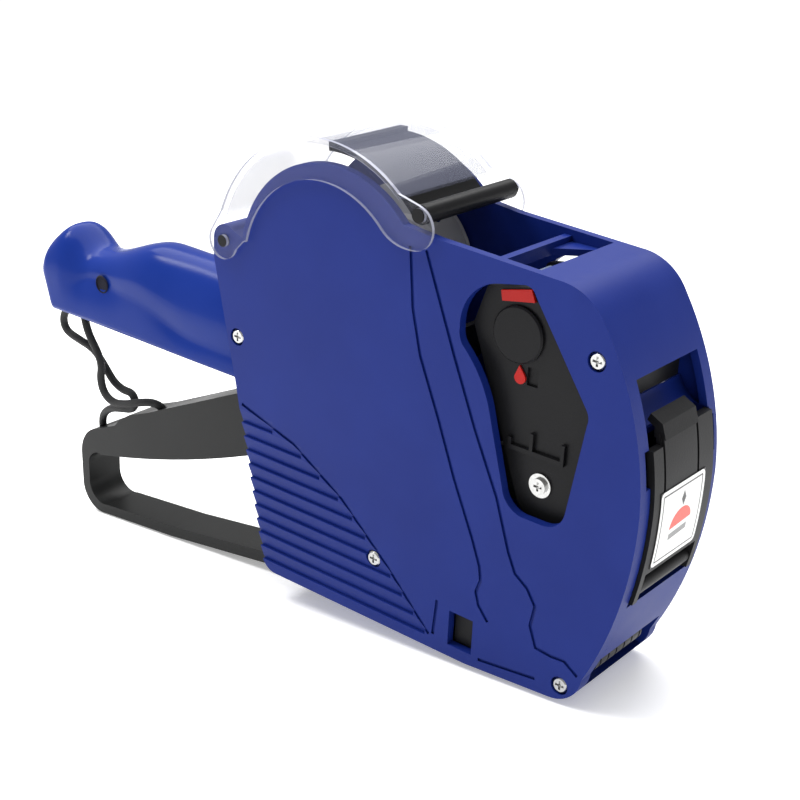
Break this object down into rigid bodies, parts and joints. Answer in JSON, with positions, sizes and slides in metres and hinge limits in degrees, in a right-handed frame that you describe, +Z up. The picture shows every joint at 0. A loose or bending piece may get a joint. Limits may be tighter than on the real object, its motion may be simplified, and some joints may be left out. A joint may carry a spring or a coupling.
{
  "type": "price labeling gun",
  "caption": "Hand-held price labeling gun: two-part blue body with hinged clear roll cover, sprung loop trigger carrying a band print head, front ink cover, nose roller and wrist cord.",
  "frame": {"origin": "middle of the width on the flat underside of the body, below the centre of the roll compartment", "axes": "+X towards the nose, +Y to the far (left-hand) side, +Z up, square to the body's flat underside"},
  "size_m": [0.2099, 0.039, 0.1345],
  "materials": {
    "blue_plastic": "moulded blue plastic, satin sides and polished grip",
    "steel": "bright plated steel",
    "grey_plastic": "dark grey moulded plastic with a soft sheen",
    "black_plastic": "black moulded plastic",
    "band_rubber": "black rubber",
    "roller_rubber": "smooth dark rubber",
    "ink_felt": "inked felt",
    "clear_plastic": "clear polished plastic",
    "cord_black": "black braided cord",
    "red_plastic": "red plastic",
    "label_paper": "printed paper label",
    "hub_plastic": "pale grey moulded plastic"
  },
  "bodies": {
    "frame": {"left_housing": "blue_plastic", "right_housing": "blue_plastic", "housing_screws": "steel", "handle_left": "blue_plastic", "handle_right": "blue_plastic", "handle_screw": "steel", "lanyard_post": "steel", "trigger_pin": "steel", "feed_shaft": "steel", "platen": "grey_plastic", "nose_axle": "steel", "roll_tray": "black_plastic", "front_tray": "black_plastic", "cover_pins": "steel", "front_hinge_pin": "steel", "return_spring": "steel", "cord": "cord_black", "mouth_liner": "black_plastic", "mouth_screen": "black_plastic"},
    "lever": {"trigger": "grey_plastic", "lever_yoke": "grey_plastic", "pawl_pin": "steel", "head_plate_right": "black_plastic", "head_plate_left": "black_plastic", "head_bridge": "black_plastic", "head_stay": "grey_plastic", "print_bar": "grey_plastic", "digit_lens": "clear_plastic", "selector_shaft": "steel", "selector_cap": "black_plastic", "column_pointer": "red_plastic", "digit_pointer": "red_plastic", "head_screws": "steel", "type_bands": "band_rubber"},
    "pawl": {"feed_pawl": "grey_plastic"},
    "knob": {"selector_knob": "black_plastic"},
    "hub_right": {"roll_hub_right": "hub_plastic"},
    "hub_left": {"roll_hub_left": "hub_plastic"},
    "drum": {"feed_sprocket": "black_plastic"},
    "nose": {"nose_roller": "roller_rubber"},
    "cover": {"roll_cover": "clear_plastic", "cover_rod": "black_plastic", "roll_leaf": "black_plastic"},
    "front": {"front_cover": "black_plastic", "front_label": "label_paper", "ink_carrier": "grey_plastic", "ink_axle": "steel"},
    "ink": {"ink_roller": "ink_felt"},
    "bottom": {"bottom_cover": "black_plastic"},
    "button_right": {"latch_button_right": "black_plastic"},
    "button_left": {"latch_button_left": "black_plastic"},
    "wheel_1": {"band_wheel_1": "band_rubber"},
    "wheel_2": {"band_wheel_2": "band_rubber"},
    "wheel_3": {"band_wheel_3": "band_rubber"},
    "wheel_4": {"band_wheel_4": "band_rubber"},
    "wheel_5": {"band_wheel_5": "band_rubber"},
    "wheel_6": {"band_wheel_6": "band_rubber"},
    "wheel_7": {"band_wheel_7": "band_rubber"},
    "wheel_8": {"band_wheel_8": "band_rubber"}
  },
  "joints": [
    {"name": "trigger_squeeze", "type": "hinge", "parent": "frame", "child": "lever", "pos_m": [-0.012, 0, 0.046], "axis": [0, 1, 0], "range_deg": [0, 18], "stiffness_Nm_per_rad": 1.6, "springref_deg": -11.46, "deforming": ["return_spring", "cord"]},
    {"name": "pawl_pivot", "type": "hinge", "parent": "lever", "child": "pawl", "pos_m": [0.027, 0, 0.0465], "axis": [0, 1, 0], "range_deg": [0, 8], "stiffness_Nm_per_rad": 0.01, "springref_deg": -11.46},
    {"name": "selector_turn", "type": "hinge", "parent": "lever", "child": "knob", "pos_m": [0.054, 0, 0.085], "axis": [0, 1, 0], "continuous": true},
    {"name": "wheel_1_turn", "type": "hinge", "parent": "lever", "child": "wheel_1", "pos_m": [0.054, 0, 0.085], "axis": [0, 1, 0], "continuous": true},
    {"name": "wheel_2_turn", "type": "hinge", "parent": "lever", "child": "wheel_2", "pos_m": [0.054, 0, 0.085], "axis": [0, 1, 0], "continuous": true},
    {"name": "wheel_3_turn", "type": "hinge", "parent": "lever", "child": "wheel_3", "pos_m": [0.054, 0, 0.085], "axis": [0, 1, 0], "continuous": true},
    {"name": "wheel_4_turn", "type": "hinge", "parent": "lever", "child": "wheel_4", "pos_m": [0.054, 0, 0.085], "axis": [0, 1, 0], "continuous": true},
    {"name": "wheel_5_turn", "type": "hinge", "parent": "lever", "child": "wheel_5", "pos_m": [0.054, 0, 0.085], "axis": [0, 1, 0], "continuous": true},
    {"name": "wheel_6_turn", "type": "hinge", "parent": "lever", "child": "wheel_6", "pos_m": [0.054, 0, 0.085], "axis": [0, 1, 0], "continuous": true},
    {"name": "wheel_7_turn", "type": "hinge", "parent": "lever", "child": "wheel_7", "pos_m": [0.054, 0, 0.085], "axis": [0, 1, 0], "continuous": true},
    {"name": "wheel_8_turn", "type": "hinge", "parent": "lever", "child": "wheel_8", "pos_m": [0.054, 0, 0.085], "axis": [0, 1, 0], "continuous": true},
    {"name": "hub_right_turn", "type": "hinge", "parent": "frame", "child": "hub_right", "pos_m": [0.0019, 0, 0.0838], "axis": [0, 1, 0], "continuous": true},
    {"name": "hub_left_turn", "type": "hinge", "parent": "frame", "child": "hub_left", "pos_m": [0.0019, 0, 0.0838], "axis": [0, 1, 0], "continuous": true},
    {"name": "drum_turn", "type": "hinge", "parent": "frame", "child": "drum", "pos_m": [0.038, 0, 0.019], "axis": [0, 1, 0], "continuous": true},
    {"name": "nose_turn", "type": "hinge", "parent": "frame", "child": "nose", "pos_m": [0.0768, 0, 0.0106], "axis": [0, 1, 0], "continuous": true},
    {"name": "cover_open", "type": "hinge", "parent": "frame", "child": "cover", "pos_m": [-0.0328, 0, 0.0875], "axis": [0, -1, 0], "range_deg": [0, 105]},
    {"name": "front_open", "type": "hinge", "parent": "frame", "child": "front", "pos_m": [0.0872, 0, 0.034], "axis": [0, 1, 0], "range_deg": [0, 70]},
    {"name": "ink_turn", "type": "hinge", "parent": "front", "child": "ink", "pos_m": [0.0809, 0, 0.04], "axis": [0, 1, 0], "continuous": true},
    {"name": "bottom_open", "type": "hinge", "parent": "frame", "child": "bottom", "pos_m": [0.0674, 0, 0.0032], "axis": [0, -1, 0], "range_deg": [0, 80]},
    {"name": "button_right_press", "type": "slide", "parent": "bottom", "child": "button_right", "axis": [0, 1, 0], "range_m": [0, 0.0016], "stiffness_N_per_m": 250, "springref_m": -0.0015},
    {"name": "button_left_press", "type": "slide", "parent": "bottom", "child": "button_left", "axis": [0, -1, 0], "range_m": [0, 0.0016], "stiffness_N_per_m": 250, "springref_m": -0.0015}
  ]
}
